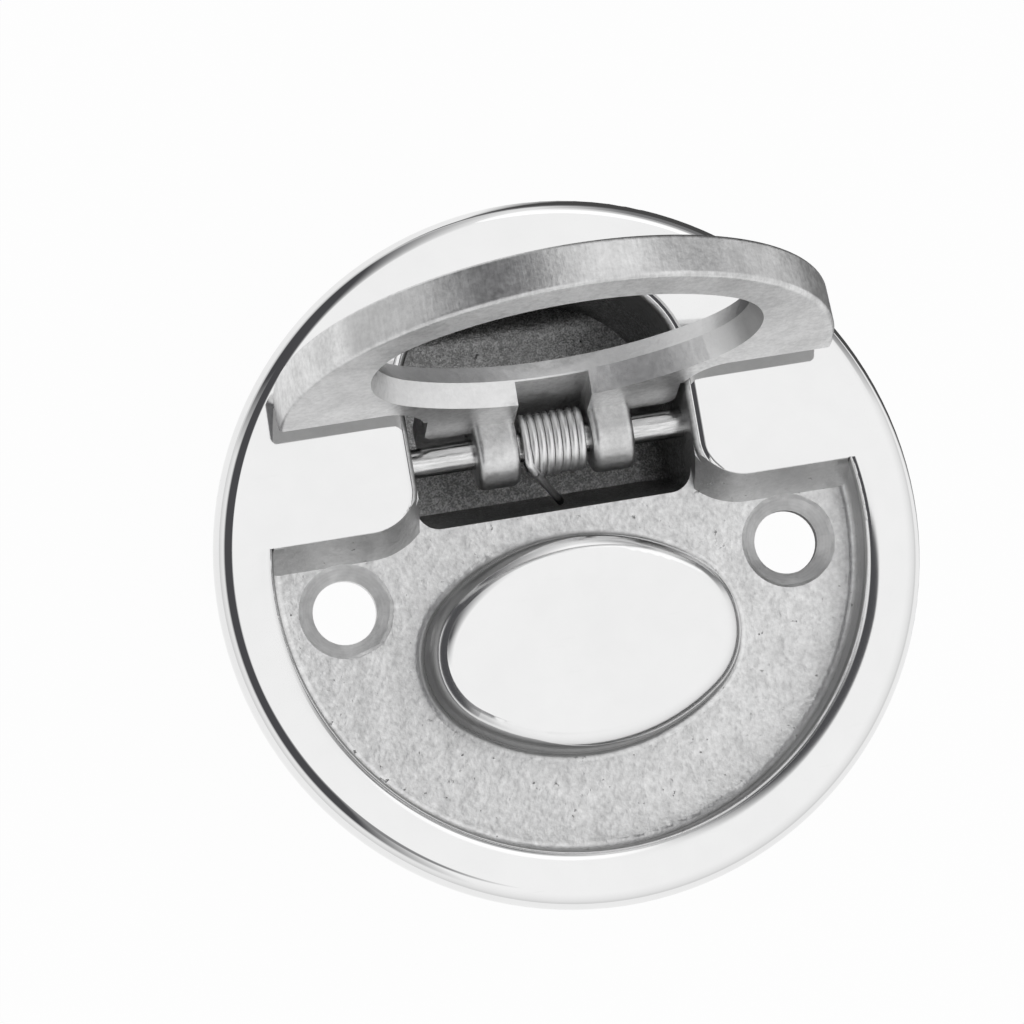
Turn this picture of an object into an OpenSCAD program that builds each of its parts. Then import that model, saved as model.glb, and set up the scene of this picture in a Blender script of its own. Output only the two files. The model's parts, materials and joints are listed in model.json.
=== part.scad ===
// Round flush lift ring: a cast flange with a sunk D-shaped ring on a sprung hinge pin.
// The frame is the centre of the flange's seating face: +X along the hinge pin,
// +Y from the middle towards the hinge, +Z out of the polished face. Millimetres.

/* [Flange] */
// Radius of the round flange
flange_r = 38; // [37:0.5:44]
// Thickness of the flange, from the seat to the polished face
flange_t = 2.6; // [2.2:0.1:4]
// Radius of the flange's rounded outer edge
flange_edge_r = 2.0; // [1:0.1:2.1]

/* [Recess] */
// Width of the polished band between the sunk crescent and the flange's edge
flange_band = 6.25; // [5.5:0.25:7]
// Depth of the crescent's floor below the polished face
recess_depth = 5.2; // [4.9:0.1:7]
// Radius of the polished edge round the crescent
recess_edge_r = 0.8; // [0.3:0.1:1.2]
// Fillet between the crescent's wall and its floor
recess_fillet = 1.0; // [0.4:0.1:1.6]
// Distance from the flange's centre to the cheeks' straight edges
cheek_y = 5.2; // [4.4:0.1:6]
// Radius of the cheeks' corners beside the neck
cheek_corner_r = 5.5; // [4:0.25:6.5]
// How far the cheeks' walls run out at the floor
cheek_runout = 2.5; // [1:0.1:2.7]
// Wall thickness of the casting below the flange
cast_wall = 2.8; // [2:0.1:3.5]

/* [Thumb pocket] */
// Half of the pocket's width between the cheeks
pocket_half_w = 15.1; // [14.8:0.1:16]
// Radius of the pocket's far corners
pocket_corner_r = 10.4; // [8:0.2:12]
// Radius of the pocket's near corners
pocket_near_r = 2.5; // [1:0.25:3]
// Distance from the centre to the pocket's near edge
pocket_near_y = 4.9; // [4.6:0.1:5.6]
// How far the pocket's near wall runs in at the bottom
pocket_runin = 3.4; // [1:0.1:4]
// Radius of the pocket's polished edge
pocket_edge_r = 1.2; // [0.6:0.1:1.3]
// Fillet round the pocket's bottom
pocket_fillet = 3.0; // [1.5:0.25:4]

/* [Centre boss] */
// Gap between the boss's ends and the lowered ring's hole
boss_end_gap = 3.05; // [2.5:0.05:5]
// Gap between the boss's sides and the lowered ring's hole
boss_side_gap = 2.15; // [1.6:0.05:3.5]
// How far the boss's middle lies nearer the pin than the hole's
boss_shift = 0.8; // [0:0.1:1.2]
// Radius of the boss's rounded top edge
boss_edge_r = 1.8; // [0.5:0.1:2.2]
// Fillet at the foot of the boss
boss_fillet = 0.9; // [0.4:0.1:1.4]

/* [Screw holes] */
// Distance from the crescent's wall to the middle of each screw hole
screw_inset = 7.45; // [7:0.05:9]
// Distance of the screw holes in front of the flange's centre
screw_y = 2.2; // [2:0.1:3.2]
// Diameter of the holes
screw_hole_d = 6.9; // [4.5:0.1:7.2]
// Diameter of the countersinks
screw_sink_d = 10.2; // [8:0.1:10.4]

/* [Hinge pin] */
// Distance from the flange's centre to the pin
pin_y = 12.4; // [12:0.1:13.4]
// Depth of the pin's axis below the polished face
pin_depth = 6.3; // [6.1:0.1:7.2]
// Diameter of the pin
pin_d = 3.2; // [2.6:0.1:3.4]
// Radial clearance of the pin in the casting's walls
pin_fit = 0.02; // [0.01:0.01:0.04]
// Radial clearance of the ring's knuckles on the pin
knuckle_fit = 0.05; // [0.02:0.01:0.09]

/* [Lift ring] */
// Gap between the lowered ring and the crescent's wall
ring_rim_gap = 1.95; // [1.2:0.05:2.6]
// Thickness of the ring
ring_t = 4.6; // [4.2:0.1:4.8]
// Gap between the ring's straight edges and the cheeks
ring_gap = 0.7; // [0.5:0.1:1.2]
// How far the ring's straight faces slope back at the underside
ring_slope = 4.1; // [2.4:0.1:4.4]
// Gap between the neck and the pocket's sides
neck_gap = 1.35; // [1:0.05:2]
// Width of the ring's band at the hole's two ends
band_side = 9.85; // [9:0.05:11.5]
// Width of the ring's band at the front
band_front = 5.75; // [5:0.05:7]
// Distance from the pin's axis to the hole's near side
hole_bridge = 9.35; // [8.5:0.05:10.5]
// Depth of the narrow line in the hole's wall, where both drafts meet
hole_waist = 2.0; // [1.4:0.1:2.6]
// Flare of the hole towards both faces
hole_flare = 0.8; // [0.1:0.05:0.9]
// Radius of the ring's outer edges
ring_edge_r = 0.5; // [0.2:0.1:0.8]
// Opening angle that the ring is held at, up to its stop on the cheeks
ring_open = 102.5; // [0:0.5:102.5]
// Distance that the ring sits along its pin from the middle
ring_slide = 0.7; // [-0.9:0.1:0.9]

/* [Thumb tail] */
// Reach of the tail beyond the pin
tail_reach = 14.2; // [12:0.1:15]
// Thickness of the tail and of the plate over the spring
tail_t = 2.2; // [1.8:0.1:2.3]
// Radius of the tail's corners
tail_corner_r = 9.4; // [7:0.2:10.5]
// Clearance round the tail's swing in the pocket
tail_clear = 0.9; // [0.6:0.1:1.5]

/* [Knuckles] */
// Radius of the knuckles
knuckle_r = 4.0; // [3.4:0.1:4]
// Gap between the two knuckles
knuckle_gap = 8.0; // [7:0.1:9]
// Width of each knuckle
knuckle_w = 4.6; // [3.5:0.1:4.8]
// Radius of the knuckles' rounded ends
knuckle_edge_r = 0.8; // [0.2:0.1:1.2]
// Distance from the pin's axis to the end of the neck's thick part
neck_end = 2.1; // [1.9:0.1:3]

/* [Torsion spring] */
// Wire diameter
wire_d = 0.84; // [0.6:0.02:0.9]
// Middle diameter of the coil
coil_d = 6.1; // [5.4:0.1:6.2]
// Clearance between the coil's ends and the knuckles
coil_end_gap = 0.35; // [0.05:0.01:0.5]
// Number of whole turns in the coil
turns_whole = 7; // [4:1:8]
// Gap between a resting leg and what it presses on
leg_gap = 0.3; // [0.1:0.05:0.4]
// Length of the leg behind the tail
tail_leg = 8.5; // [6:0.5:10]

/* [Hidden] */
$fn = 64;
over = 1;
big = 100;
polished = [0.86, 0.87, 0.88];
cast_grey = [0.72, 0.72, 0.72];
pin_grey = [0.78, 0.78, 0.79];
wire_grey = [0.62, 0.62, 0.63];

// The ring lies in the crescent, its hole inside its band, and the boss inside the hole
recess_r = flange_r - flange_band;
ring_r = recess_r - ring_rim_gap;
neck_half_w = pocket_half_w - neck_gap;
hole_a = ring_r - band_side;
hole_b = (ring_r - band_front + pin_y - hole_bridge) / 2;
hole_y = (ring_r - band_front - pin_y + hole_bridge) / 2;
boss_a = hole_a - boss_end_gap;
boss_b = hole_b - boss_side_gap;
boss_y = hole_y - boss_shift;

// The polished face and what is measured down from it
top = flange_t;
floor_z = top - recess_depth;
pin_z = top - pin_depth;
pin_r = pin_d / 2;

// The tail's swing about the pin sizes the pocket
tail_swing = sqrt(pow(tail_reach, 2) + pow(pin_depth, 2));
pocket_far_y = pin_y + tail_swing + tail_clear;
pocket_z = pin_z - tail_swing - tail_clear;
cheek_slope = atan(cheek_runout / recess_depth);
pin_half = pocket_half_w + cast_wall;

// The ring's straight edge, its sloped face and the plate over the spring
edge_y = cheek_y - ring_gap;
face_slope = atan(ring_slope / ring_t);
plate_z = top - tail_t;
tail_end_y = pin_y + tail_reach;
neck_end_y = pin_y - neck_end;
neck_corner_r = 1.5;

// Screw holes
screw_x = recess_r - screw_inset;
screw_r = screw_hole_d / 2;
sink_r = screw_sink_d / 2;
sink_depth = sink_r - screw_r;

// A plan oval of half sizes a and b is four arcs that meet on lines of slope 4 to 3
function side_r(a, b) = 2 * a - b;
function end_r(a, b) = (3 * b - a) / 2;
function end_x(a, b) = 1.5 * (a - b);
function side_y(a, b) = 2 * (a - b);

// The plan oval itself
module oval_plan(a, b) {
    meet_x = end_x(a, b) + 0.6 * end_r(a, b);
    for (side = [-1, 1]) translate([side * end_x(a, b), 0]) circle(end_r(a, b));
    intersection() {
        translate([0, side_y(a, b)]) circle(side_r(a, b), $fn = 180);
        translate([0, -side_y(a, b)]) circle(side_r(a, b), $fn = 180);
        translate([-meet_x, -b - over]) square([2 * meet_x, 2 * (b + over)]);
    }
}

// Carries a narrow profile round the oval. Its x is measured out from the oval's line.
module round_oval(a, b) {
    for (side = [0, 1])
        mirror([0, side, 0]) translate([0, -side_y(a, b), 0]) intersection() {
            rotate_extrude($fn = 180) translate([side_r(a, b), 0]) children();
            translate([0, 0, -big / 2]) linear_extrude(big) polygon([[0, 0], [60, 80], [-60, 80]]);
        }
    for (side = [0, 1])
        mirror([side, 0, 0]) translate([end_x(a, b), 0, 0]) intersection() {
            rotate_extrude() translate([end_r(a, b), 0]) children();
            translate([0, 0, -big / 2]) linear_extrude(big) polygon([[0, 0], [60, -80], [60, 80]]);
        }
}

// What a rounding of radius r takes off a corner at the origin, material towards +x and -y
module edge_cut(r, inner = over) {
    difference() {
        translate([-inner, -r]) square([r + inner, r + over]);
        translate([r, -r]) circle(r, $fn = 24);
    }
}

// Both sides of the symmetric casting
module both_sides() {
    children();
    mirror([1, 0, 0]) children();
}

// A plan rectangle with round far corners and near corners of another radius
module pocket_plan(grow = 0) {
    w = pocket_half_w + grow;
    far = pocket_corner_r + grow;
    near = pocket_near_r + grow;
    y0 = pocket_near_y - grow;
    y1 = pocket_far_y + grow;
    for (side = [-1, 1]) {
        translate([side * (w - far), y1 - far]) circle(far);
        translate([side * (w - near), y0 + near]) circle(near);
    }
    translate([-w + far, y0 + near]) square([2 * (w - far), y1 - y0 - near]);
    translate([-w, y0 + near]) square([2 * w, y1 - y0 - near - far]);
    translate([-w + near, y0]) square([2 * (w - near), y1 - y0 - far]);
}

// The pocket's side view: a near wall that runs in, and round bottom corners
module pocket_side(grow = 0) {
    r = pocket_fillet + grow;
    y0 = pocket_near_y - grow;
    y1 = pocket_far_y + grow;
    z0 = pocket_z - grow;
    foot_y = y0 + pocket_runin;
    difference() {
        polygon([[y0, floor_z], [foot_y, z0], [y1, z0], [y1, top + over], [y0, top + over]]);
        translate([y1, z0]) rotate(90) corner_waste(r);
    }
}

// A square corner less its inscribed quarter circle, in the first quadrant from the origin
module corner_waste(r) {
    difference() {
        translate([-over, -over]) square([r + over, r + over]);
        translate([r, r]) circle(r, $fn = 32);
    }
}

// The pocket's end view, with round bottom edges
module pocket_end(grow = 0) {
    w = pocket_half_w + grow;
    r = pocket_fillet + grow;
    z0 = pocket_z - grow;
    difference() {
        translate([-w, z0]) square([2 * w, top + over - z0]);
        translate([-w, z0]) corner_waste(r);
        translate([w, z0]) rotate(90) corner_waste(r);
    }
}

// The pocket's space, or with grow its outer shape below the flange
module pocket_body(grow = 0, roof = top + over) {
    intersection() {
        translate([0, 0, pocket_z - grow])
            linear_extrude(roof - pocket_z + grow) pocket_plan(grow);
        rotate([90, 0, 90])
            translate([0, 0, -big / 2]) linear_extrude(big) pocket_side(grow);
        rotate([90, 0, 0])
            translate([0, 0, -big / 2]) linear_extrude(big) pocket_end(grow);
    }
}

// One cheek beside the neck: an upright corner, and a foot that runs out towards the floor
module cheek() {
    corner = [pocket_half_w + cheek_corner_r, cheek_y + cheek_corner_r];
    foot = cheek_corner_r + cheek_runout;
    lift = floor_z - over;
    tall = top - lift + over;
    translate([0, 0, lift]) linear_extrude(tall) {
        translate(corner) circle(cheek_corner_r);
        translate([corner[0], cheek_y]) square([big, big]);
        translate([pocket_half_w, corner[1]]) square([big, big]);
    }
    intersection() {
        translate([corner[0], corner[1], floor_z])
            cylinder(h = recess_depth, r1 = foot, r2 = cheek_corner_r);
        translate([pocket_half_w, -big / 2, floor_z]) cube([big, big, recess_depth]);
    }
    translate([corner[0], 0, 0]) rotate([90, 0, 90])
        linear_extrude(big)
            polygon([[cheek_y, top], [cheek_y - cheek_runout, floor_z], [corner[1], floor_z], [corner[1], top]]);
}

// The space of the crescent in front of the cheeks
module recess_space() {
    difference() {
        intersection() {
            rotate_extrude($fn = 120)
                difference() {
                    translate([0, floor_z]) square([recess_r, recess_depth + over]);
                    translate([recess_r, floor_z]) rotate(90) corner_waste(recess_fillet);
                }
            translate([-big / 2, -big, floor_z - over])
                cube([big, big + cheek_y + cheek_corner_r, big]);
        }
        both_sides() cheek();
    }
}

// The polished edge round the crescent's arc
module recess_edge() {
    intersection() {
        translate([0, 0, top]) rotate_extrude($fn = 120)
            translate([recess_r, 0]) edge_cut(recess_edge_r, 0.05);
        translate([-big / 2, -big, 0]) cube([big, big + cheek_y, big]);
    }
}

// The polished edge of the pocket, which fades out round the cheeks' corners
module pocket_edge() {
    r = pocket_edge_r;
    corner_y = cheek_y + cheek_corner_r;
    arch_y = pocket_far_y - pocket_corner_r;
    arch_x = pocket_half_w - pocket_corner_r;
    translate([pocket_half_w, corner_y, top]) rotate([-90, 0, 0])
        linear_extrude(arch_y - corner_y) mirror([0, 1]) edge_cut(r);
    translate([arch_x, arch_y, top]) rotate_extrude(angle = 90)
        translate([pocket_corner_r, 0]) edge_cut(r);
    translate([-over, pocket_far_y, top]) rotate([90, 0, 90])
        linear_extrude(arch_x + over) edge_cut(r);
    translate([pocket_half_w + cheek_corner_r, corner_y - r, top])
        rotate(180) rotate_extrude(angle = 90)
            translate([cheek_corner_r, 0]) mirror([1, 0]) edge_cut(r);
    translate([pocket_half_w, corner_y - r, top]) rotate([-90, 0, 0])
        linear_extrude(r) mirror([0, 1]) edge_cut(r);
}

// The raised boss that fills the ring's hole when the ring is down
module boss() {
    draft = 0.25;
    inner = -2 * boss_edge_r;
    translate([0, -boss_y, 0]) {
        translate([0, 0, floor_z - over]) linear_extrude(recess_depth + over)
            oval_plan(boss_a - boss_edge_r, boss_b - boss_edge_r);
        round_oval(boss_a, boss_b) {
            difference() {
                union() {
                    polygon([[inner, floor_z - over], [draft, floor_z - over], [draft, floor_z],
                             [0, top - boss_edge_r], [-boss_edge_r, top], [inner, top]]);
                    translate([-boss_edge_r, top - boss_edge_r]) circle(boss_edge_r, $fn = 24);
                    translate([0, floor_z - over])
                        square([draft + boss_fillet, boss_fillet + over]);
                }
                translate([draft + boss_fillet, floor_z + boss_fillet]) circle(boss_fillet, $fn = 24);
            }
        }
    }
}

// A countersunk screw hole, with a round clearing above it
module screw_hole() {
    translate([screw_x, -screw_y, 0]) {
        translate([0, 0, floor_z - cast_wall - over]) cylinder(h = cast_wall + 2 * over, r = screw_r);
        translate([0, 0, floor_z - sink_depth])
            cylinder(h = sink_depth, r1 = screw_r, r2 = sink_r);
        translate([0, 0, floor_z]) cylinder(h = recess_depth - recess_edge_r, r = sink_r);
    }
}

// The flange, the crescent's cup, the pocket's tub and the boss, cast as one piece
module base_casting() color(polished) {
    cup_r = recess_r + cast_wall - 0.2;
    difference() {
        union() {
            rotate_extrude($fn = 144) {
                square([flange_r - flange_edge_r, flange_t]);
                square([flange_r, flange_t - flange_edge_r]);
                translate([flange_r - flange_edge_r, flange_t - flange_edge_r])
                    circle(flange_edge_r, $fn = 24);
            }
            intersection() {
                translate([0, 0, floor_z - cast_wall])
                    cylinder(h = cast_wall - floor_z + flange_t / 2, r = cup_r, $fn = 120);
                translate([-big / 2, -big, -big / 2]) cube([big, big + cheek_y + cast_wall, big]);
            }
            pocket_body(cast_wall, flange_t / 2);
        }
        recess_space();
        pocket_body();
        recess_edge();
        both_sides() pocket_edge();
        both_sides() screw_hole();
        translate([-pin_half - over, pin_y, pin_z]) rotate([0, 90, 0])
            cylinder(h = 2 * (pin_half + over), r = pin_r + pin_fit, $fn = 64);
    }
    boss();
}

// The plain pin, held in the pocket's two side walls
module hinge_pin() color(pin_grey) {
    chamfer = 0.3;
    translate([-pin_half, pin_y, pin_z]) rotate([0, 90, 0])
        rotate_extrude($fn = 64)
            polygon([[0, 0], [pin_r - chamfer, 0], [pin_r, chamfer], [pin_r, 2 * pin_half - chamfer],
                     [pin_r - chamfer, 2 * pin_half], [0, 2 * pin_half]]);
}

// Points of a straight run from one point to the next, without the last
function run(from, to, steps) = [for (i = [0 : steps - 1]) from + (to - from) * i / steps];

// The spring's middle line: the leg behind the tail, the coil, and the leg to the near wall
coil_r = coil_d / 2;
leg_off_angle = 150;
start_angle = 90 - ring_open;
end_angle = leg_off_angle + 360 * turns_whole;
coil_half = (knuckle_gap - wire_d) / 2 - coil_end_gap;
pitch = 720 * coil_half / (end_angle - start_angle);
coil_x = ring_slide;
leg_lift = wire_d;
leg_drift = 0.76;
function rise(t, from, span) = min(1, max(0, (t - from) / span));
function coil_reach(t) = coil_r + leg_lift * rise(t, end_angle - 55, 30);
function coil_shift(t) = leg_drift * rise(t, end_angle - 25, 25);
function coil_point(t) =
    [coil_x + coil_half - pitch * (t - start_angle) / 360 + coil_shift(t),
     pin_y + coil_reach(t) * cos(t), pin_z + coil_reach(t) * sin(t)];
tail_dir = [0, cos(-ring_open), sin(-ring_open)];
plate_lift = pin_depth - tail_t - coil_r - wire_d / 2 - leg_gap;
tail_norm = [0, cos(start_angle), sin(start_angle)];
tail_tip = coil_point(start_angle) + tail_dir * tail_leg + tail_norm * plate_lift;
leg_drop = 4.8;
near_wall_y = pocket_near_y + pocket_runin * (floor_z - pin_z + leg_drop) / (floor_z - pocket_z);
leg_tip = [coil_x + 0.7, near_wall_y + leg_gap + wire_d / 2, pin_z - leg_drop];
coil_step = 15;
spring_path = concat(
    run(tail_tip, coil_point(start_angle), 4),
    [for (t = [start_angle : coil_step : end_angle - coil_step / 2]) coil_point(t)],
    run(coil_point(end_angle), leg_tip, 3), [leg_tip]);

function unit(v) = v / norm(v);
function tangent(p, i) = unit(p[min(i + 1, len(p) - 1)] - p[max(i - 1, 0)]);

// A tube round a path: rings of points across the path, set out from the pin's direction
module tube(path, r, sides) {
    rings = [for (i = [0 : len(path) - 1])
        let (t = tangent(path, i), u = unit([1, 0, 0] - t[0] * t), v = cross(t, u))
            for (k = [0 : sides - 1])
                path[i] + r * (cos(360 * k / sides) * u + sin(360 * k / sides) * v)];
    last = (len(path) - 1) * sides;
    walls = [for (i = [0 : len(path) - 2], k = [0 : sides - 1])
        let (a = i * sides + k, b = i * sides + (k + 1) % sides)
            [a, a + sides, b + sides, b]];
    ends = [[for (k = [0 : sides - 1]) k], [for (k = [sides - 1 : -1 : 0]) last + k]];
    polyhedron(points = rings, faces = concat(walls, ends), convexity = 10);
}

// The close-wound spring that pulls the ring down
module torsion_spring() color(wire_grey) tube(spring_path, wire_d / 2, 8);

// The plate's outline seen along the pin: thick neck, thin tail, both with round top edges
module neck_end_view() {
    r = ring_edge_r;
    w = neck_half_w;
    translate([-w, -ring_t]) square([2 * w, ring_t - r]);
    translate([-w + r, -ring_t]) square([2 * (w - r), ring_t]);
    for (side = [-1, 1]) translate([side * (w - r), -r]) circle(r, $fn = 32);
}

// The tail beyond the pin, a plate with two large round corners
module tail_plate() {
    r = ring_edge_r;
    corner_x = neck_half_w - tail_corner_r;
    corner_y = tail_end_y - tail_corner_r;
    both_sides() {
        translate([corner_x, corner_y, top])
            rotate_extrude(angle = 90) tail_edge(tail_corner_r);
        translate([corner_x, neck_end_y - over, top]) rotate([-90, 0, 0])
            linear_extrude(corner_y - neck_end_y + over) mirror([0, 1]) tail_edge(tail_corner_r);
        translate([-over, corner_y, top]) rotate([90, 0, 90])
            linear_extrude(corner_x + over) tail_edge(tail_corner_r);
    }
    translate([-corner_x - over, neck_end_y - over, plate_z])
        cube([2 * (corner_x + over), corner_y - neck_end_y + 2 * over, tail_t]);
}

// A section of the tail out to a given reach, with its top edge rounded
module tail_edge(reach) {
    r = ring_edge_r;
    translate([0, -tail_t]) square([reach, tail_t - r]);
    translate([0, -tail_t]) square([reach - r, tail_t]);
    translate([reach - r, -r]) circle(r, $fn = 32);
}

// The two lugs below the plate that turn on the pin
module knuckles() {
    both_sides()
        translate([knuckle_gap / 2, pin_y, pin_z]) {
            rotate([0, 90, 0]) rotate_extrude() {
                square([knuckle_r - knuckle_edge_r, knuckle_w]);
                translate([0, knuckle_edge_r])
                    square([knuckle_r, knuckle_w - 2 * knuckle_edge_r]);
                for (end = [knuckle_edge_r, knuckle_w - knuckle_edge_r])
                    translate([knuckle_r - knuckle_edge_r, end]) circle(knuckle_edge_r, $fn = 24);
            }
            translate([knuckle_edge_r, -knuckle_r, 0])
                cube([knuckle_w - 2 * knuckle_edge_r, 2 * knuckle_r, plate_z - pin_z + tail_t / 2]);
            translate([0, -knuckle_r + knuckle_edge_r, 0])
                cube([knuckle_w, 2 * (knuckle_r - knuckle_edge_r), plate_z - pin_z + tail_t / 2]);
            for (end = [knuckle_edge_r, knuckle_w - knuckle_edge_r], side = [-1, 1])
                translate([end, side * (knuckle_r - knuckle_edge_r), 0])
                    cylinder(h = plate_z - pin_z + tail_t / 2, r = knuckle_edge_r, $fn = 24);
        }
}

// What is cut from the disc beyond its sloped straight faces, round the neck
module straight_cut() {
    r = cheek_corner_r - 0.5;
    translate([0, edge_y, top]) rotate([-face_slope, 0, 0])
        translate([0, 0, -ring_t * 3]) linear_extrude(ring_t * 4)
            both_sides() difference() {
                translate([neck_half_w, 0]) square([big, big]);
                translate([neck_half_w, 0]) corner_waste_at(r);
            }
}

// The fillet left in a corner at the origin, inside the first quadrant
module corner_waste_at(r) {
    difference() {
        square([r, r]);
        translate([r, r]) circle(r, $fn = 32);
    }
}

// The flat disc that the ring is cut from
module ring_disc() {
    r = ring_edge_r;
    intersection() {
        translate([0, 0, top]) rotate_extrude($fn = 180) {
            translate([0, -ring_t]) square([ring_r - r, ring_t]);
            translate([0, -ring_t + r]) square([ring_r, ring_t - 2 * r]);
            translate([ring_r - r, -r]) circle(r, $fn = 32);
            translate([ring_r - r, -ring_t + r]) circle(r, $fn = 32);
        }
        translate([-big / 2, -big, -big / 2]) cube([big, big + edge_y, big]);
    }
}

// The full-thickness neck, with round corners at its end
module neck() {
    intersection() {
        translate([0, neck_end_y, top]) rotate([90, 0, 0])
            linear_extrude(neck_end_y + hole_y) neck_end_view();
        translate([0, 0, -big / 2]) linear_extrude(big) {
            translate([-neck_half_w, -big]) square([2 * neck_half_w, big + neck_end_y - neck_corner_r]);
            translate([-neck_half_w + neck_corner_r, -big])
                square([2 * (neck_half_w - neck_corner_r), big + neck_end_y]);
            for (side = [-1, 1])
                translate([side * (neck_half_w - neck_corner_r), neck_end_y - neck_corner_r])
                    circle(neck_corner_r, $fn = 48);
        }
    }
}

// The hole for the fingers, narrowest at its waist
module finger_hole() {
    inner = 1.5;
    translate([0, -hole_y, top]) {
        translate([0, 0, -ring_t - over]) linear_extrude(ring_t + 2 * over)
            oval_plan(hole_a - inner / 2, hole_b - inner / 2);
        round_oval(hole_a, hole_b)
            polygon([[-inner, over], [hole_flare, over], [hole_flare, 0], [0, -hole_waist],
                     [hole_flare, -ring_t], [hole_flare, -ring_t - over], [-inner, -ring_t - over]]);
    }
}

// The ring as it lies when it is down, flush with the flange
module ring_down() {
    difference() {
        union() {
            ring_disc();
            neck();
            tail_plate();
            knuckles();
        }
        straight_cut_kept();
        finger_hole();
        translate([-knuckle_gap / 2, -hole_y, top - ring_t - over])
            cube([knuckle_gap, hole_y + neck_end_y + over, ring_t - tail_t + over]);
        translate([-big / 2, pin_y, pin_z]) rotate([0, 90, 0])
            cylinder(h = big, r = pin_r + knuckle_fit, $fn = 64);
    }
}

// The straight faces' cut, kept clear of the tail
module straight_cut_kept() {
    intersection() {
        straight_cut();
        translate([-big / 2, -big, -big / 2]) cube([big, big + neck_end_y, big]);
    }
}

// The ring, turned up about its pin and slid along it
module lift_ring() color(cast_grey)
    translate([ring_slide, pin_y, pin_z]) rotate([-ring_open, 0, 0])
        translate([0, -pin_y, -pin_z]) ring_down();

base_casting();
hinge_pin();
torsion_spring();
lift_ring();
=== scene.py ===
# %% [markdown]
# # A flush lift ring in polished and cast steel
# This lesson dresses a round flush lift ring: a cast flange with a polished face, a sunk
# crescent with a sparkling cast floor, a D-shaped ring on a bright pin and a close-wound spring.
# The solids come from the CAD model. Blender adds the finishes, the wound wire and the light.

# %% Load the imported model
import json
import math

import bpy
import numpy as np
from mathutils import Matrix, Vector


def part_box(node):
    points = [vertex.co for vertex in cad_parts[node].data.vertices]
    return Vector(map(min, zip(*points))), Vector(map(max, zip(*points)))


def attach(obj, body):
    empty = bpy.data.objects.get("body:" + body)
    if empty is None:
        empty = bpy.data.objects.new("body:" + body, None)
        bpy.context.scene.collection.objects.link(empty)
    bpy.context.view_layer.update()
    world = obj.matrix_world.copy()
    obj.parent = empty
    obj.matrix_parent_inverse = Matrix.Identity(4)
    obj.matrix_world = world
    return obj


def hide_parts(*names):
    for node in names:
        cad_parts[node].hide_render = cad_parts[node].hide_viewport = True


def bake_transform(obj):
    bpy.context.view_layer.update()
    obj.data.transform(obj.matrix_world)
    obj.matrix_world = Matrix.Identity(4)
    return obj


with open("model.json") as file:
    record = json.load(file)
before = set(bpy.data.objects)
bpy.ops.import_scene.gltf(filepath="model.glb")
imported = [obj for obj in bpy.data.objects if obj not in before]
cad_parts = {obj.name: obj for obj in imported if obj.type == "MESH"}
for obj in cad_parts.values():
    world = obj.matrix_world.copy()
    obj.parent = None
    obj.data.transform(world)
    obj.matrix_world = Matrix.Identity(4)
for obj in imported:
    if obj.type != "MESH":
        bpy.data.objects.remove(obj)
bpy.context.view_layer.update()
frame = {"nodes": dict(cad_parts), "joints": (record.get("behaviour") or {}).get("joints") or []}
base_low, base_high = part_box("base_casting")
pin_low, pin_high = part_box("hinge_pin")

# %% [markdown]
# ## Where things are
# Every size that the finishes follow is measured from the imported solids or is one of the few
# lengths that the casting is drawn with. The polished face is the flange's top, the recess is the
# sunk crescent, and the boss is the oval in it.

# %% Name the places on the part
MM = 0.001
face_z = base_high[2]
recess_z = face_z - 5.2 * MM
recess_r, recess_round = 31.75 * MM, 0.8 * MM
flange_r, flange_round = 38 * MM, 2 * MM
boss_y, boss_half_x, boss_half_y = -9.7 * MM, 15.1 * MM, 9.6 * MM
screw_x, screw_y = 24.3 * MM, -2.2 * MM
cheek_x = 16.4 * MM
pin_y = (pin_low[1] + pin_high[1]) / 2
pin_z = (pin_low[2] + pin_high[2]) / 2
ring_open = math.radians(frame["joints"][0]["range_deg"][1])
ring_slide = 0.7 * MM
print(f"polished face at {face_z / MM:.2f} mm, pin at y {pin_y / MM:.2f}, z {pin_z / MM:.2f} mm")

# %% [markdown]
# ## The camera
# The photograph looks almost straight down on the face from half a metre away, through a long
# lens, and a little from the lower left. A camera can be placed by eye or by a constraint. Here its
# three small angles are written out, so that the view is the same wherever the object stands.


# %% Place the camera
def camera_axes(lean_x, lean_y, roll):
    """Rows are the camera's right, up and backward directions.

    The backward direction leans from +Z by the two angles; right is square to it and level with
    the part's X; then both right and up turn by the roll about the backward direction.
    """
    back = np.array([math.tan(lean_x), math.tan(lean_y), 1.0])
    back /= np.linalg.norm(back)
    right = np.cross([0.0, 1.0, 0.0], back)
    right /= np.linalg.norm(right)
    up = np.cross(back, right)
    c, s = math.cos(roll), math.sin(roll)
    return np.array([c * right + s * up, -s * right + c * up, back])


picture_px, lens_px = 1024, 4717.0
film_mm = 36.0
distance = 0.50105
axes = camera_axes(math.radians(-8.80), math.radians(-4.77), math.radians(-9.85))
eye = distance * axes[2] + np.array([0.0, 0.0, face_z])
aim_x, aim_y = ((px - picture_px / 2) / lens_px for px in (572.0, 550.4))
aim = Vector((aim_x, -aim_y, -1.0)).normalized()
turn = Vector((0, 0, -1)).rotation_difference(aim).to_matrix()
facing = (turn @ Matrix(axes.tolist())).transposed().to_4x4()
camera_data = bpy.data.cameras.new("photo_camera")
camera_data.sensor_width = film_mm
camera_data.lens = film_mm * lens_px / picture_px
camera_data.clip_start, camera_data.clip_end = 0.01, 20.0
camera = bpy.data.objects.new("photo_camera", camera_data)
camera.matrix_world = Matrix.Translation(Vector(eye.tolist())) @ facing
bpy.context.scene.collection.objects.link(camera)
bpy.context.scene.camera = camera
print("lens", round(camera_data.lens, 1), "mm, eye", [round(v / MM, 1) for v in eye], "mm")

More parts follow.
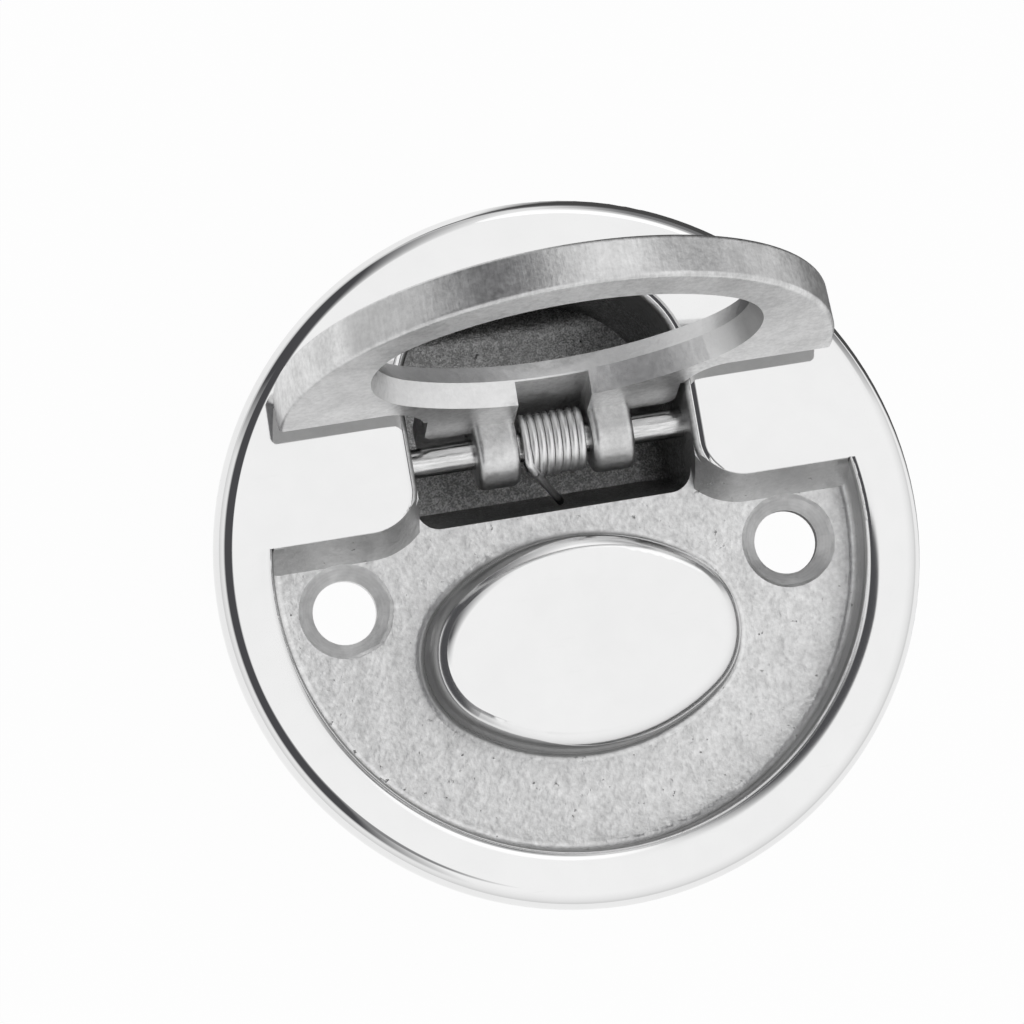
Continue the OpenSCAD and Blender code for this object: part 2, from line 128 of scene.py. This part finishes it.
# %% [markdown]
# ## Sums in a material
# A shader network is arithmetic on sockets. Wiring it node by node is long, so one small class
# wraps a socket: its operators add Math nodes, and one method adds any other node.


# %% Wrap a socket
class Signal:
    """A number, vector or colour in one material; operators add Math nodes to its tree."""

    def __init__(self, tree, socket):
        self.tree, self.socket = tree, socket

    def node(self, kind, settings=None, out=0, **values):
        """Adds a node: its settings are set first, then its sockets get values or links."""
        made = self.tree.nodes.new(kind)
        for name, value in (settings or {}).items():
            if name == "stops":
                ramp = made.color_ramp
                while len(ramp.elements) < len(value):
                    ramp.elements.new(0.5)
                for element, (place, shade) in zip(ramp.elements, value):
                    element.position = place
                    element.color = (shade, shade, shade, 1)
            else:
                setattr(made, name, value)
        for name, value in values.items():
            key = int(name[1:]) if name[0] == "i" and name[1:].isdigit() else name
            if isinstance(value, Signal):
                self.tree.links.new(value.socket, made.inputs[key])
            else:
                made.inputs[key].default_value = value
        return Signal(self.tree, made.outputs[out])

    def math(self, operation, *values, clamp=False):
        """Adds one Math node; clamp holds its result between 0 and 1."""
        named = {f"i{n}": value for n, value in enumerate(values)}
        return self.node("ShaderNodeMath", {"operation": operation, "use_clamp": clamp}, **named)

    def __add__(self, other):
        return self.math("ADD", self, other)

    __radd__ = __add__

    def __sub__(self, other):
        return self.math("SUBTRACT", self, other)

    def __rsub__(self, other):
        return self.math("SUBTRACT", other, self)

    def __mul__(self, other):
        return self.math("MULTIPLY", self, other)

    __rmul__ = __mul__

    def __truediv__(self, other):
        return self.math("DIVIDE", self, other)

    def at_least(self, other):
        """This value, or other where other is the larger."""
        return self.math("MAXIMUM", self, other)

    def size_of(self):
        """The value without its sign."""
        return self.math("ABSOLUTE", self)

    def between(self, low, high):
        """0 below low, 1 above high and straight between; high may be the smaller."""
        return self.math("MULTIPLY", self - low, 1.0 / (high - low), clamp=True)

    def choose(self, inside, outside):
        """The number inside where this value is 1, outside where it is 0, a mix between."""
        return self * inside + (1 - self) * outside

    def blend(self, first, second):
        """A colour that goes from first to second as this value goes from 0 to 1."""
        return self.node(
            "ShaderNodeMix", {"data_type": "RGBA"}, 2, Factor=self, i6=first, i7=second
        )

    def parts(self):
        """The three numbers of a vector."""
        split = self.node("ShaderNodeSeparateXYZ", Vector=self).socket.node.outputs
        return [Signal(self.tree, split[n]) for n in range(3)]

    def noise(self, size, detail=2.0, roughness=0.5):
        """A cloudy value of about 0 to 1 whose blobs are size metres across."""
        scaled = {"Scale": 1.0 / size, "Detail": detail, "Roughness": roughness}
        return self.node("ShaderNodeTexNoise", Vector=self, **scaled)

    def stretched(self, scale, turn=(0, 0, 0)):
        """Coordinates that are scaled and then turned, for a noise that is longer one way."""
        return self.node("ShaderNodeMapping", Vector=self, Rotation=turn, Scale=scale)

    def in_world(self):
        """A direction of the piece's own frame, turned to the world's."""
        turned = {"vector_type": "VECTOR", "convert_from": "OBJECT", "convert_to": "WORLD"}
        return self.node("ShaderNodeVectorTransform", turned, Vector=self)

    def unit(self):
        """The same direction with the length 1."""
        return self.node("ShaderNodeVectorMath", {"operation": "NORMALIZE"}, i0=self)

    def bump(self, **under):
        """The normal over this relief, which is a height in metres."""
        return self.node("ShaderNodeBump", Distance=1.0, Height=self, **under)


def length(a, b):
    """Pythagoras on two signals: the root of a squared plus b squared."""
    both = a * a + b * b
    return both.math("SQRT", both)


def new_material(name):
    """An empty metal material, its shader, and the object coordinates to paint it with."""
    made = bpy.data.materials.new(name)
    made.use_nodes = True
    shader = made.node_tree.nodes["Principled BSDF"]
    feed(shader, "Metallic", 1.0)
    start = Signal(made.node_tree, made.node_tree.nodes.new("ShaderNodeTexCoord").outputs["Object"])
    return made, shader, start


def feed(shader, name, value):
    """Joins a signal to one of the shader's sockets, or sets the socket to a plain value."""
    if isinstance(value, Signal):
        value.tree.links.new(value.socket, shader.inputs[name])
    else:
        shader.inputs[name].default_value = value


def facing_of(place):
    """The three parts of the surface's direction, in the piece's own frame."""
    return Signal(place.tree, place.socket.node.outputs["Normal"]).parts()


def grey(value):
    """A plain grey, from 0 for black to 1 for white."""
    return (value, value, value, 1.0)


# %% [markdown]
# ## Where the buffing wheel reaches
# The casting comes from its mould with a grainy skin. Its face, its edges and the boss's top are
# then ground and buffed to a mirror, and the sunk floor keeps the skin. One material carries
# both. Height tells most of it, because a flat wheel reaches only what stands high, and a few
# masks say where the wheel tips over an edge.


# %% Masks of the casting
def by_boss(x, y):
    """How a point lies to the boss, whose flat top is an ellipse round (0, boss_y).

    size = sqrt((x / half_x)^2 + (from_y / half_y)^2) is 1 on the flat's edge. far is the distance
    to the boss's middle, so gap = far - far / size is how far the point lies beyond that edge.
    upper_left goes from 0 to 1 towards the boss's upper left side.
    """
    from_y = y - boss_y
    size = length(x / boss_half_x, from_y / boss_half_y)
    far = length(x, from_y)
    upper_left = ((from_y * 0.75 - x * 0.66) / (far + 1e-6)).between(0.3, 0.95)
    return from_y, size, far, far - far / size, upper_left


def on_boss(size):
    """1 on the boss and its walls, and 0 on the floor round it."""
    return size.between(1.45, 1.40)


def on_outer_flange(radius):
    """1 on the flange's outer part, where nothing keeps the wheel off."""
    return radius.between(34.6 * MM, 34.7 * MM)


def in_front(y):
    """1 in front of the cheeks, where the recess's wall runs round."""
    return y.between(5.3 * MM, 5.0 * MM)


def at_recess_rim(radius, y):
    """1 on and beyond the recess's wall, where it runs round in front."""
    return radius.between(30.5 * MM, 30.6 * MM) * in_front(y)


def buffed_part(x, y, z, radius, boss):
    """1 where the buffing wheel reaches and 0 where the cast skin stays.

    It reaches up to 0.2 mm below the face at the recess's rounded edge. On the boss it reaches
    furthest down at the right and least at the upper left. The cheeks' sloped walls lie behind its
    path, so there only the very top is bright.
    """
    _, size, far, _, upper_left = boss
    rightward = (x / (far + 1e-6)).between(-0.6, 0.5)
    boss_reach = z + rightward * (0.95 * MM) - upper_left * (0.14 * MM)
    boss_reach = boss_reach.between(face_z - 0.40 * MM, face_z - 0.32 * MM)
    rim_reach = z.between(face_z - 0.20 * MM, face_z - 0.14 * MM)
    reached = on_boss(size).choose(boss_reach, rim_reach).at_least(on_outer_flange(radius))
    cheek_wall = (
        radius.between(recess_r - 0.02 * MM, recess_r - 0.05 * MM)
        * x.size_of().between(cheek_x - 0.05 * MM, cheek_x + 0.05 * MM)
        * y.between(1.6 * MM, 1.7 * MM)
        * y.between(10.8 * MM, 10.6 * MM)
    )
    top_only = z.between(face_z - 0.12 * MM, face_z - 0.03 * MM)
    return cheek_wall.choose(top_only, reached)


# %% [markdown]
# ## The cast skin and the mirror
# Three sizes of noise make the mould's skin, and a fourth gives the sparkle: as relief and
# roughness, and on the deep pocket's floor also as painted bright glints. Painted shade darkens the
# walls, a band close round the boss and the deep pocket's floor. Under the recess's front edge runs
# a painted dark band, with a thin painted highlight above it. A cutter has turned the seats of the
# screws, which leaves fine rings.


# %% Colour, roughness and relief of the casting
def cast_skin(place, radius, boss):
    """Colour, roughness and relief of the skin and the machined seats; the relief is in metres."""
    x, y, z = place.parts()
    grain = place.noise(0.55 * MM, 2.5, 0.55)
    middling = place.noise(1.3 * MM, 2.0, 0.5)
    coarse = place.noise(3.2 * MM, 3.0, 0.6)
    sparkle = place.noise(0.2 * MM, 1.0, 0.5)
    pits = place.noise(0.7 * MM, 2.0, 0.5).between(0.31, 0.22) * coarse.between(0.45, 0.6)

    mottle = grain.between(0.25, 0.75) * 0.5 + middling.between(0.25, 0.75) * 0.3
    mottle = mottle + coarse.between(0.3, 0.7) * 0.2
    colour = mottle.between(0.2, 0.8).blend(grey(0.72), grey(1.0))
    # Painted shade: walls, the faces that turn away from straight up, are darkened, to 0.34 left of
    # x = 17 mm and 0.56 right of x = 20 mm.
    wall = facing_of(place)[2].between(0.75, 0.35)
    wall_painted_shade = x.between(20.0 * MM, 17.0 * MM).blend(grey(0.56), grey(0.34))
    colour = (wall * 0.8).blend(colour, wall_painted_shade)
    # Painted shade: a dark grey band close round the boss; the same mask also smooths the relief
    # there.
    collar = boss[3].between(2.7 * MM, 2.1 * MM)
    colour = (collar * 0.9).blend(colour, grey(0.36))
    # Painted shade on the deep pocket's floor, dotted with painted bright glints from the sparkle
    # noise.
    deep = z.between(recess_z - 0.8 * MM, recess_z - 4.0 * MM)
    pocket_painted_shade_and_glints = (sparkle * 0.6 + grain * 0.4).between(0.42, 0.66).blend(grey(0.28), grey(0.80))
    colour = (deep * 0.9).blend(colour, pocket_painted_shade_and_glints)
    colour = (pits * 0.8).blend(colour, grey(0.2))

    from_screw = length(x.size_of() - screw_x, y - screw_y)
    machined = (from_screw + (coarse - 0.5) * (0.9 * MM)).between(5.10 * MM, 4.75 * MM)
    machined = machined * z.between(face_z - 5.0 * MM, face_z - 5.1 * MM)
    ring_angle = from_screw * (math.tau / (0.31 * MM))
    turned = ring_angle.math("SINE", ring_angle)
    turned_colour = (turned * 0.05 + middling).blend(grey(0.64), grey(1.0))
    colour = (machined * 0.9).blend(colour, turned_colour)

    rim = at_recess_rim(radius, y)
    # Painted shade: a dark band on the wall under the recess's front edge.
    painted_dark_band = rim * z.between(face_z - 1.3 * MM, face_z - 0.8 * MM)
    colour = (painted_dark_band * 0.8).blend(colour, grey(0.42))
    # Painted highlight: a thin bright line just under the recess's front edge.
    painted_rim_highlight = rim * z.between(face_z - 0.30 * MM, face_z - 0.26 * MM)
    painted_rim_highlight = painted_rim_highlight * z.between(face_z - 0.16 * MM, face_z - 0.20 * MM)
    colour = (painted_rim_highlight * 0.8).blend(colour, grey(0.98))

    rough = machined.choose(0.42, 0.32 + sparkle * 0.20)
    relief = grain * 0.042 + middling * 0.05 + coarse * 0.12
    relief = relief + sparkle * (0.008 + deep * 0.04) - pits * 0.10
    relief = relief * (1 - collar * 0.8)
    turned_relief = turned * 0.0004 + middling * 0.05 + grain * 0.02
    return colour, rough, machined.choose(turned_relief, relief) * MM


def mirror_skin(place, radius, boss):
    """Colour and roughness of the buffed faces: smudges, scratches one way, and hazy edges."""
    y = place.parts()[1]
    _, size, _, gap, _ = boss
    smudge = place.noise(14 * MM, 3.0).between(0.3, 0.7) * 0.6
    smudge = smudge + place.noise(3 * MM, 3.0).between(0.3, 0.7) * 0.4
    wheel_way = place.stretched((0.06, 1, 1), turn=(0, 0, 0.6))
    scratch = wheel_way.noise(0.35 * MM, 2.0, 0.6).between(0.70, 0.78)
    colour = (smudge * 0.8 + scratch * 0.6).blend(grey(0.905), grey(0.86))
    boss_edge = gap.between(-0.1 * MM, 0.1 * MM) * on_boss(size)
    rim_edge = at_recess_rim(radius, y) * radius.between(33.8 * MM, 33.0 * MM)
    rough = smudge * 0.03 + scratch * 0.06 + 0.03 + boss_edge * 0.12 + rim_edge * 0.10
    return colour, rough


# %% [markdown]
# ## Exact directions on the rounds
# A mirror shows every fault of the corner normals, and thin triangles on a narrow round have
# some. A round that runs about the part's axis has a simple exact normal, so it is worked out in
# the material. The same step lets the flats roll off a little before their edges, as buffed
# flats do.


# %% Normals of the casting
def round_normal(place, sideways, centre_z):
    """The direction from the centre line of a turned round to the surface, in world axes.

    The round's section has its centre at the height centre_z; sideways is how far the surface
    leans away from the axis there, in metres, and less than 0 towards the axis.
    """
    x, y, z = place.parts()
    share = sideways / length(x, y)
    up = (z - centre_z).at_least(0.02 * MM)
    way = place.node("ShaderNodeCombineXYZ", X=x * share, Y=y * share, Z=up)
    return way.in_world().unit()


def leant_normal(made, lean_x, lean_y):
    """The surface's normal, leant by two small numbers along the piece's own X and Y."""
    plain = made.node_tree.nodes.new("ShaderNodeNewGeometry").outputs["Normal"]
    start = Signal(made.node_tree, plain)
    lean = lean_x.node("ShaderNodeCombineXYZ", X=lean_x, Y=lean_y).in_world()
    return start.node("ShaderNodeVectorMath", {"operation": "ADD"}, i0=start, i1=lean).unit()


def mix_ways(share, first, second):
    """A direction that goes from first to second as share goes from 0 to 1."""
    return share.node("ShaderNodeMix", {"data_type": "VECTOR"}, 1, i0=share, i4=first, i5=second)


def casting_normal(made, place, radius, boss, buffed):
    """The boss's flat leans before its edge, and the two turned rounds get their exact normal.

    The lean runs along the slope of the ellipse's size, which is (x / half_x^2, from_y / half_y^2)
    / size, times the boss's mean half length to make it about 1 long. In front, the flat beside the
    recess also leans inwards, most at the recess's foremost edge.
    """
    x, y, z = place.parts()
    from_y, size, _, gap, upper_left = boss
    mean_half = 11 * MM
    roll = gap.between(-2.0 * MM, 0.2 * MM) * size.between(1.2, 1.0)
    along = roll * (0.04 + upper_left * 0.14) * buffed / size
    lean_x = x * along * (mean_half / boss_half_x**2)
    lean_y = from_y * along * (mean_half / boss_half_y**2)
    normal = leant_normal(made, lean_x, lean_y)

    centre_z = face_z - recess_round
    inward = (recess_r + recess_round - radius).at_least(0.0)
    before_edge = radius.between(33.7 * MM, 32.5 * MM) * y.between(5.2 * MM, -12.0 * MM)
    inward = inward + before_edge * (0.30 * MM)
    inner = radius.between(recess_r + 0.03 * MM, recess_r + 0.05 * MM)
    inner = inner * radius.between(34.62 * MM, 34.60 * MM) * in_front(y)
    inner = inner * z.between(centre_z + 0.02 * MM, centre_z + 0.04 * MM)
    normal = mix_ways(inner, normal, round_normal(place, inward * -1, centre_z))

    centre_z = face_z - flange_round
    outward = (radius - (flange_r - flange_round)).at_least(0.0)
    outer = on_outer_flange(radius) * z.between(centre_z - 0.1 * MM, centre_z)
    return mix_ways(outer, normal, round_normal(place, outward, centre_z))


def casting_finish():
    """The mirror where the wheel reaches, and the grainy skin elsewhere."""
    made, shader, place = new_material("polished_casting")
    x, y, z = place.parts()
    radius = length(x, y)
    boss = by_boss(x, y)
    buffed = buffed_part(x, y, z, radius, boss)
    skin_colour, skin_rough, relief = cast_skin(place, radius, boss)
    mirror_colour, mirror_rough = mirror_skin(place, radius, boss)
    feed(shader, "Base Color", buffed.blend(skin_colour, mirror_colour))
    feed(shader, "Roughness", buffed.choose(mirror_rough, skin_rough))
    normal = casting_normal(made, place, radius, boss, buffed)
    feed(shader, "Normal", ((1 - buffed) * relief).bump(Normal=normal))
    return made


casting_material = casting_finish()
print("casting finish:", len(casting_material.node_tree.nodes), "nodes")

# %% [markdown]
# ## The ring's tumbled metal
# The ring is cast too, but tumbled smooth, with a linished rim. Its skin is paler and finer. On the
# rim a belt leaves short streaks along the hinge's direction, so a noise that is stretched that
# way is mixed in where the surface lies far from the ring's middle.


# %% Finish of the ring
def ring_finish():
    """Tumbled castings are mottled; the rim, far from the ring's middle, keeps a belt's streaks.

    s is the way along the open ring from the pin, so the distance to the ring's middle, which
    lies pin_y along it, is the root of x squared plus (pin_y - s) squared. Painted shade darkens
    the neck's faces that look down and the hole's right end, and a painted highlight brightens
    the hole's walls that look up.
    """
    made, shader, place = new_material("tumbled_ring")
    x, y, z = place.parts()
    toward_x, _, toward_z = facing_of(place)
    aside = x.size_of()
    s = (y - pin_y) * -math.cos(ring_open) + (z - pin_z) * math.sin(ring_open)
    far = length(x, s - pin_y)

    rim = far.between(28.6 * MM, 29.0 * MM)
    grain = place.noise(0.55 * MM, 3.0, 0.6)
    coarse = place.noise(3.0 * MM, 4.0, 0.6)
    streak = rim * (place.stretched((3.2, 0.35, 0.7)).noise(0.9 * MM, 2.0, 0.6) - 0.5)
    tone = grain * 0.5 + coarse * 0.5 + streak * 0.25
    skin = tone.between(0.36, 0.64).blend(grey(0.62), grey(0.88))

    # Painted highlight: the hole's walls that look up are brightened towards white.
    hole = toward_z.between(0.3, 0.6) * aside.between(20.5 * MM, 19.5 * MM)
    hole = hole * s.between(9.0 * MM, 9.3 * MM) * far.between(25.4 * MM, 25.2 * MM)
    # Painted shade: the hole's right end is darkened.
    hole_end_painted_shade = toward_x.between(-0.5, -0.9) * aside.between(23 * MM, 22 * MM)
    hole_end_painted_shade = hole_end_painted_shade * s.between(13 * MM, 15 * MM)
    # Painted shade: the neck's faces that look down are darkened.
    below = toward_z.between(-0.2, -0.5) * s.between(13 * MM, 12 * MM)
    skin = (hole * 0.6).blend(skin, grey(1.0))
    skin = (hole_end_painted_shade * 0.8).blend(skin, grey(0.45))
    feed(shader, "Base Color", (below * 0.8).blend(skin, grey(0.36)))
    feed(shader, "Roughness", 0.30 + grain * 0.16)
    feed(shader, "Normal", ((grain * 0.026 + coarse * 0.045 + streak * 0.012) * MM).bump())
    return made


def wire_finish(name, low, high, rough, size, dark_from):
    """Drawn bar or wire: bright with fine tone changes, and painted shade below the height
    dark_from.
    """
    made, shader, place = new_material(name)
    z = place.parts()[2]
    streak = place.stretched(size).noise(1 * MM, 3.0, 0.6)
    bright = streak.between(0.3, 0.7).blend(grey(low), grey(high))
    # Painted shade: the wire turns near-black below the height dark_from.
    painted_shade_below = z.between(dark_from, dark_from - 1.2 * MM)
    feed(shader, "Base Color", (painted_shade_below * 0.9).blend(bright, grey(0.10)))
    feed(shader, "Roughness", rough + streak * 0.10)
    feed(shader, "Normal", (streak * (0.02 * MM)).bump())
    return made


far_below = -1
ring_material = ring_finish()
pin_material = wire_finish("bright_pin", 0.55, 0.90, 0.14, (0.4, 3.3, 3.3), far_below)
wire_material = wire_finish("spring_wire", 0.92, 1.0, 0.34, (5, 2.5, 2.5), pin_z - 2.7 * MM)

# %% [markdown]
# ## Dress the solids
# The casting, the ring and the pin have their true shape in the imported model. They stay, and only
# get their finish.


# %% Give each solid its finish
def dress(node, material):
    """Puts the material in the node's slot; the mesh isn't touched."""
    solid = frame["nodes"][node]
    for slot in solid.material_slots:
        slot.link = "OBJECT"
        slot.material = material
    print(node, "wears", material.name, "on", len(solid.data.polygons), "faces")


dress("base_casting", casting_material)
dress("lift_ring", ring_material)
dress("hinge_pin", pin_material)

# %% [markdown]
# ## The spring
# Round wire wound close on the pin. One leg presses on the pocket's near wall and the other on
# the ring's tail. The wire is a tube along a path: the coil and the tail's leg are one piece, drawn
# for the open ring, and the near leg stays with the casting.


# %% Sweep the wire
def tube_along(name, path, radius, sides=20):
    """A closed tube: at each path point, a circle square to the path's tangent.

    Its first side direction is the part's X less its share along the tangent, so it can't twist.
    """
    tangent = np.gradient(path, axis=0)
    tangent /= np.linalg.norm(tangent, axis=1)[:, None]
    side = np.array([1.0, 0.0, 0.0]) - tangent[:, :1] * tangent
    side /= np.linalg.norm(side, axis=1)[:, None]
    other = np.cross(tangent, side)
    angle = np.linspace(0, 2 * np.pi, sides, endpoint=False)[None, :, None]
    circle = np.cos(angle) * side[:, None] + np.sin(angle) * other[:, None]
    points = (path[:, None] + radius * circle).reshape(-1, 3)
    rows, cols = np.meshgrid(np.arange(len(path) - 1), np.arange(sides), indexing="ij")
    a = rows * sides + cols
    b = rows * sides + (cols + 1) % sides
    quads = np.stack([a, b, b + sides, a + sides], axis=-1).reshape(-1, 4)
    mesh = bpy.data.meshes.new(name)
    end = (len(path) - 1) * sides
    faces = quads.tolist() + [list(range(sides))[::-1], [end + k for k in range(sides)]]
    mesh.from_pydata(points.tolist(), [], faces)
    mesh.polygons.foreach_set("use_smooth", [True] * len(quads) + [False, False])
    mesh.materials.append(wire_material)
    made = bpy.data.objects.new(name, mesh)
    bpy.context.scene.collection.objects.link(made)
    return made


def rise(sweep, start, run):
    """0 up to start, 1 from start + run on, and straight between."""
    return np.clip((sweep - start) / run, 0, 1)


wire_r, winding_r = 0.42 * MM, 3.05 * MM
knuckle_gap, end_gap = 8.0 * MM, 0.35 * MM
half_long = knuckle_gap / 2 - wire_r - end_gap
whole_turns, leg_off_deg = 7, 150
leg_lift, leg_drift = 0.84 * MM, 0.76 * MM
tail_leg_long, plate_lift = 8.5 * MM, 0.33 * MM
first = math.radians(90) - ring_open
last = math.radians(leg_off_deg + 360 * whole_turns)
sweep = np.linspace(first, last, 8 * 72)
wound = (sweep - first) / (last - first)
coil_r = winding_r + leg_lift * rise(sweep, last - math.radians(55), math.radians(30))
drift = leg_drift * rise(sweep, last - math.radians(25), math.radians(25))
coil = np.stack(
    [
        ring_slide + half_long * (1 - 2 * wound) + drift,
        pin_y + coil_r * np.cos(sweep),
        pin_z + coil_r * np.sin(sweep),
    ],
    axis=1,
)
tail_way = np.array([0.0, math.cos(-ring_open), math.sin(-ring_open)])
tail_out = np.array([0.0, math.cos(first), math.sin(first)])
tail_tip = coil[0] + tail_way * tail_leg_long + tail_out * plate_lift
share = np.linspace(0, 1, 14, endpoint=False)[:, None]
tail_leg = tail_tip * (1 - share) + coil[0] * share
coil_piece = tube_along("coil_and_tail_leg", np.concatenate([tail_leg, coil]), wire_r)
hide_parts("torsion_spring")
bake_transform(coil_piece)
print("coil of", len(sweep), "steps,", round(2 * half_long / MM, 2), "mm long")

# %% [markdown]
# The near leg starts inside the coil's last turn and a hair thicker, so that the two never share
# a surface. It leaves along the coil's own way and bends down to the wall.


# %% The leg that stays with the casting
tip_shift, tip_y, tip_drop = 0.7 * MM, 6.42 * MM, 4.8 * MM
leg_tip = np.array([ring_slide + tip_shift, tip_y, pin_z - tip_drop])
leg_start = coil[-4]
coil_way = (coil[-3] - coil[-5]) / np.linalg.norm(coil[-3] - coil[-5])
bulge = 1.6 * MM
share = np.linspace(0, 1, 40)[:, None]
leg_path = leg_start * (1 - share) + leg_tip * share
leg_path = leg_path + bulge * coil_way * share * (1 - share) ** 3
near_leg = tube_along("near_leg", leg_path, wire_r * 1.003)
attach(near_leg, "base")
print("near leg", round(float(np.linalg.norm(leg_tip - coil[-1])) / MM, 1), "mm long")

# %% [markdown]
# ## The light
# A mirror shows its room. A white ceiling makes the face read white, and a darker horizon
# draws the edges. The sky brightens straight up for the metal, and looks plain white to the camera.


# %% Sky and floor
def sky():
    """A white room that is greyer low down, with dark parts for the mirror to show.

    x, y and z are the parts of a direction, and level is the length of its x and y. The opening
    spans the left side, from just beside straight up to halfway down to the horizon, and
    lower at the upper left. from_lens is how far a direction is from the camera, where the
    photographer is dark. far_wall stands low at the top, and side_wall higher at the upper right.
    """
    world = bpy.data.worlds.new("studio")
    bpy.context.scene.world = world
    world.use_nodes = True
    tree = world.node_tree
    tree.nodes.clear()
    place = Signal(tree, tree.nodes.new("ShaderNodeTexCoord").outputs["Generated"])
    x, y, z = place.parts()
    level = length(x, y)
    height = [(0.0, 0.70), (0.1, 0.72), (0.3, 0.82), (0.6, 0.90), (0.9, 0.97)]
    room = z.node("ShaderNodeValToRGB", {"stops": height}, Fac=z)

    opening = ((x * -0.970 + y * 0.242) / level).between(0.08, 0.50)
    opening = opening * level.between(0.05, 0.15) * z.between(0.10, 0.25)
    upper_left = (y * 0.94 - x * 0.34 - level * 0.80).between(0.0, 0.12)
    opening = opening * level.between(0.86, 0.74).at_least(upper_left)
    from_lens = length(x + 0.13, y + 0.14)
    opening = opening.at_least(from_lens.between(0.20, 0.13) * 0.8)

    far_wall = (x * 0.42 + y * 0.91 - level * 0.80).between(0.0, 0.1) * z.between(0.16, 0.10)
    side_wall = (x * 0.67 + y * 0.74 - level * 0.87).between(0.0, 0.09) * z.between(0.66, 0.54)
    room = (opening * 0.96).blend(room, (0.035, 0.035, 0.04, 1.0))
    room = (far_wall.at_least(side_wall) * 0.8).blend(room, (0.05, 0.05, 0.055, 1.0))
    seen = Signal(tree, tree.nodes.new("ShaderNodeLightPath").outputs["Is Camera Ray"])
    shade = seen.blend(room, grey(1.0))
    out = tree.nodes.new("ShaderNodeOutputWorld")
    background = shade.node("ShaderNodeBackground", Color=shade, Strength=1.0)
    tree.links.new(background.socket, out.inputs["Surface"])


sky()

floor_mesh = bpy.data.meshes.new("pale_floor")
reach = 1.2
drop = base_low[2]
ways = [(-1, -1), (1, -1), (1, 1), (-1, 1)]
floor_mesh.from_pydata([(reach * x, reach * y, drop) for x, y in ways], [], [(0, 1, 2, 3)])
pale_floor = bpy.data.objects.new("pale_floor", floor_mesh)
bpy.context.scene.collection.objects.link(pale_floor)


def floor_finish():
    """Diffuse and near-white, and lit to plain white for the camera.

    The metal mirrors it white as well, but a painted shadow makes it dark grey behind the part at
    the right.
    """
    made, shader, place = new_material("pale_floor")
    feed(shader, "Metallic", 0.0)
    feed(shader, "Base Color", grey(0.85))
    feed(shader, "Roughness", 0.9)
    x, y, _ = place.parts()
    # Painted shadow: the floor's glow that the metal mirrors turns dark grey behind the part at the
    # right.
    behind = (y * 0.79 - x * 0.61).between(-42 * MM, -28 * MM) * x.between(0, 15 * MM)
    path = made.node_tree.nodes.new("ShaderNodeLightPath")
    seen = Signal(made.node_tree, path.outputs["Is Camera Ray"])
    glossy = Signal(made.node_tree, path.outputs["Is Glossy Ray"])
    tone = seen.blend(behind.blend(grey(0.92), grey(0.07)), grey(1.0))
    glow = tone.node("ShaderNodeEmission", Color=tone)
    amount = (seen * 0.97).at_least(glossy)
    mix = amount.node("ShaderNodeMixShader", i0=amount, i2=glow)
    made.node_tree.links.new(shader.outputs[0], mix.socket.node.inputs[1])
    made.node_tree.links.new(mix.socket, made.node_tree.nodes["Material Output"].inputs["Surface"])
    return made


floor_mesh.materials.append(floor_finish())


# %% Hang the lamp
def soft_lamp(name, place, aim_at, size, power):
    """A round area lamp of the given width and watts, turned to face a point."""
    data = bpy.data.lights.new(name, "AREA")
    data.shape, data.size, data.energy = "DISK", size, power
    lamp = bpy.data.objects.new(name, data)
    way = (Vector(aim_at) - Vector(place)).to_track_quat("-Z", "Y").to_matrix().to_4x4()
    lamp.matrix_world = Matrix.Translation(place) @ way
    bpy.context.scene.collection.objects.link(lamp)


soft_lamp("ceiling_panel", (0.35, 0.6, 0.6), (0, 0, 0), 0.6, 0.2)
bpy.context.scene.view_settings.view_transform = "Standard"
